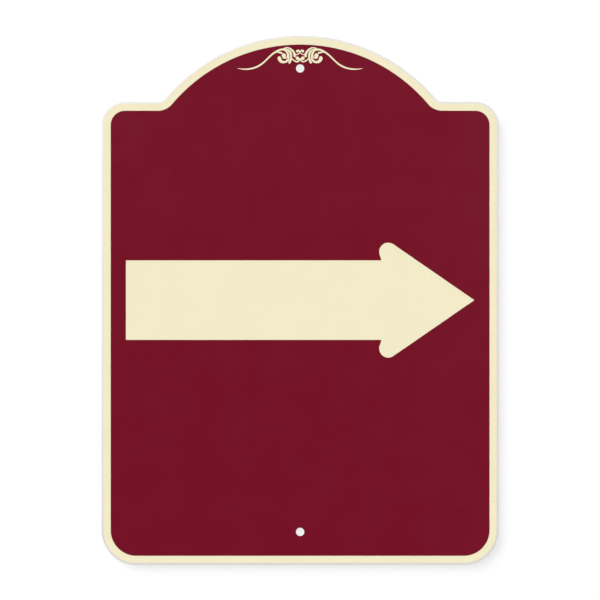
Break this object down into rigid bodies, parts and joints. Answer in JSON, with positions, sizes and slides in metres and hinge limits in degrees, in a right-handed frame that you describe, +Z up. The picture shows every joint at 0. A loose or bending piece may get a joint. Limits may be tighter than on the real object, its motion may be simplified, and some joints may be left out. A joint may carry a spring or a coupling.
{
  "type": "one way sign",
  "caption": "Flat aluminium sign with an arched top, cream border, burgundy field, cream arrow pointing right and a scroll ornament, with a bolt hole near the top and the bottom.",
  "frame": {"origin": "on the back face of the sheet, in the middle of its width and height, halfway between the two bolt holes", "axes": "+Z up the sign, +X to the right of someone facing it, +Y out of the back face towards the post or wall; the printed face looks along -Y"},
  "size_m": [0.4572, 0.0019, 0.6096],
  "materials": {
    "bare_aluminium": "mill finish, with fine rolling grain",
    "cream_film": "smooth cream vinyl film, semi-gloss",
    "burgundy_film": "smooth burgundy vinyl film, semi-gloss"
  },
  "bodies": {
    "root": {"aluminium_sheet": "bare_aluminium", "cream_ground": "cream_film", "burgundy_field": "burgundy_film", "arrow": "cream_film", "scrollwork": "cream_film"}
  },
  "joints": []
}
